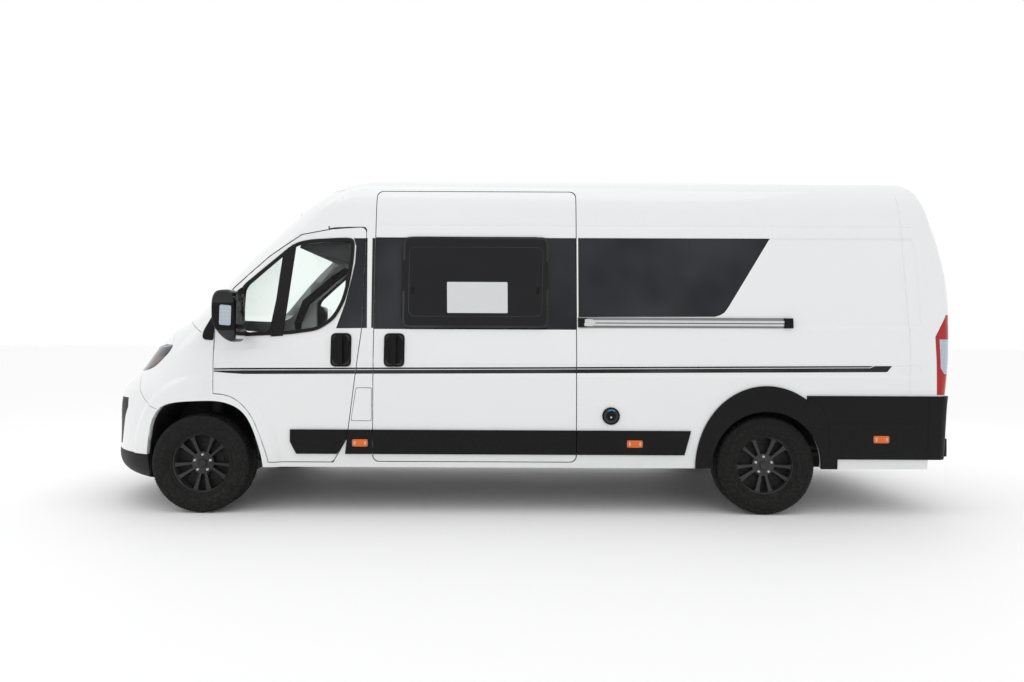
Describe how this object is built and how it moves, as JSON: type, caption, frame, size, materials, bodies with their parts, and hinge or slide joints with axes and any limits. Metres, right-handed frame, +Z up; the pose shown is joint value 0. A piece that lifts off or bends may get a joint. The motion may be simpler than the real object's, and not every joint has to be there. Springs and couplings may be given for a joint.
{
  "type": "camper van",
  "caption": "High-roof panel van converted to a camper, with opening cab doors, rear doors and bonnet, steered front wheels and free-turning wheels.",
  "frame": {"origin": "on the ground under the middle of the whole vehicle's box, mirrors included", "axes": "+X to the rear, +Y to the vehicle's right, +Z up"},
  "size_m": [6.37, 2.508, 2.5229],
  "materials": {
    "body_white": "gloss",
    "floor_steel": "satin",
    "dark_steel": "satin",
    "engine_iron": "matte",
    "black_plastic": "grained",
    "seal_rubber": "matte",
    "dash_plastic": "grained",
    "seat_fabric": "woven",
    "clear_glass": "clear",
    "tinted_glass": "tinted",
    "acrylic": "gloss",
    "lamp_clear": "clear",
    "lamp_red": "gloss",
    "amber_lens": "gloss",
    "rail_aluminium": "satin",
    "tank_plastic": "matte",
    "exhaust_steel": "satin",
    "black_alloy": "gloss",
    "tyre_rubber": "matte"
  },
  "bodies": {
    "root": {"floor": "floor_steel", "side_wall_left": "body_white", "side_wall_right": "body_white", "roof": "body_white", "cab_frame": "body_white", "windscreen": "clear_glass", "front_wing_left": "body_white", "front_wing_right": "body_white", "front_bumper": "body_white", "bumper_lower": "black_plastic", "grille": "black_plastic", "headlamps": "lamp_clear", "radiator_panel": "dark_steel", "engine": "engine_iron", "dashboard": "dash_plastic", "cab_seats": "seat_fabric", "wheel_housings": "dark_steel", "sliding_door": "body_white", "side_windows": "acrylic", "door_seals": "seal_rubber", "slide_rail": "rail_aluminium", "side_mouldings": "black_plastic", "side_markers": "amber_lens", "rear_bumper": "black_plastic", "tail_lamps": "lamp_red", "front_suspension": "dark_steel", "rear_axle": "dark_steel", "fuel_tank": "tank_plastic", "exhaust": "exhaust_steel", "spare_wheel": "tyre_rubber"},
    "bonnet": {"bonnet": "body_white"},
    "fuel_flap": {"fuel_flap": "body_white"},
    "cab_door_left": {"cab_door_left": "body_white", "cab_glass_left": "tinted_glass", "mirror_left": "black_plastic", "door_trim_left": "black_plastic"},
    "rear_door_left": {"rear_door_left": "body_white", "rear_glass_left": "tinted_glass"},
    "knuckle_left": {"knuckle_left": "dark_steel"},
    "wheel_front_left": {"rim_front_left": "black_alloy", "tyre_front_left": "tyre_rubber"},
    "wheel_rear_left": {"rim_rear_left": "black_alloy", "tyre_rear_left": "tyre_rubber"},
    "cab_door_right": {"cab_door_right": "body_white", "cab_glass_right": "tinted_glass", "mirror_right": "black_plastic", "door_trim_right": "black_plastic"},
    "rear_door_right": {"rear_door_right": "body_white", "rear_glass_right": "tinted_glass"},
    "knuckle_right": {"knuckle_right": "dark_steel"},
    "wheel_front_right": {"rim_front_right": "black_alloy", "tyre_front_right": "tyre_rubber"},
    "wheel_rear_right": {"rim_rear_right": "black_alloy", "tyre_rear_right": "tyre_rubber"}
  },
  "joints": [
    {"name": "bonnet_hinge", "type": "hinge", "parent": "root", "child": "bonnet", "pos_m": [-2.3455, 0, 1.377], "axis": [0, 1, 0], "range_deg": [0, 55]},
    {"name": "fuel_flap_hinge", "type": "hinge", "parent": "root", "child": "fuel_flap", "pos_m": [-1.013, -1.012, 0.78], "axis": [0, 0, 1], "range_deg": [0, 100]},
    {"name": "cab_door_left_hinge", "type": "hinge", "parent": "root", "child": "cab_door_left", "pos_m": [-2.1425, -1.008, 1], "axis": [0, 0, -1], "range_deg": [0, 70]},
    {"name": "cab_door_right_hinge", "type": "hinge", "parent": "root", "child": "cab_door_right", "pos_m": [-2.1425, 1.008, 1], "axis": [0, 0, 1], "range_deg": [0, 70]},
    {"name": "rear_door_left_hinge", "type": "hinge", "parent": "root", "child": "rear_door_left", "pos_m": [3.152, -0.871, 1.4], "axis": [0, 0, -1], "range_deg": [0, 180]},
    {"name": "rear_door_right_hinge", "type": "hinge", "parent": "root", "child": "rear_door_right", "pos_m": [3.152, 0.871, 1.4], "axis": [0, 0, 1], "range_deg": [0, 180]},
    {"name": "steer_left", "type": "hinge", "parent": "root", "child": "knuckle_left", "pos_m": [-2.2335, -0.86, 0.3535], "axis": [0, 0, 1], "range_deg": [-33, 33]},
    {"name": "steer_right", "type": "hinge", "parent": "root", "child": "knuckle_right", "pos_m": [-2.2335, 0.86, 0.3535], "axis": [0, 0, 1], "range_deg": [-33, 33]},
    {"name": "spin_front_left", "type": "hinge", "parent": "knuckle_left", "child": "wheel_front_left", "pos_m": [-2.2335, -0.905, 0.3535], "axis": [0, 1, 0], "continuous": true},
    {"name": "spin_front_right", "type": "hinge", "parent": "knuckle_right", "child": "wheel_front_right", "pos_m": [-2.2335, 0.905, 0.3535], "axis": [0, 1, 0], "continuous": true},
    {"name": "spin_rear_left", "type": "hinge", "parent": "root", "child": "wheel_rear_left", "pos_m": [1.8015, -0.895, 0.3535], "axis": [0, 1, 0], "continuous": true},
    {"name": "spin_rear_right", "type": "hinge", "parent": "root", "child": "wheel_rear_right", "pos_m": [1.8015, 0.895, 0.3535], "axis": [0, 1, 0], "continuous": true}
  ],
  "couplings": [
    {"joint": "steer_right", "follows": "steer_left", "ratio": 1}
  ]
}
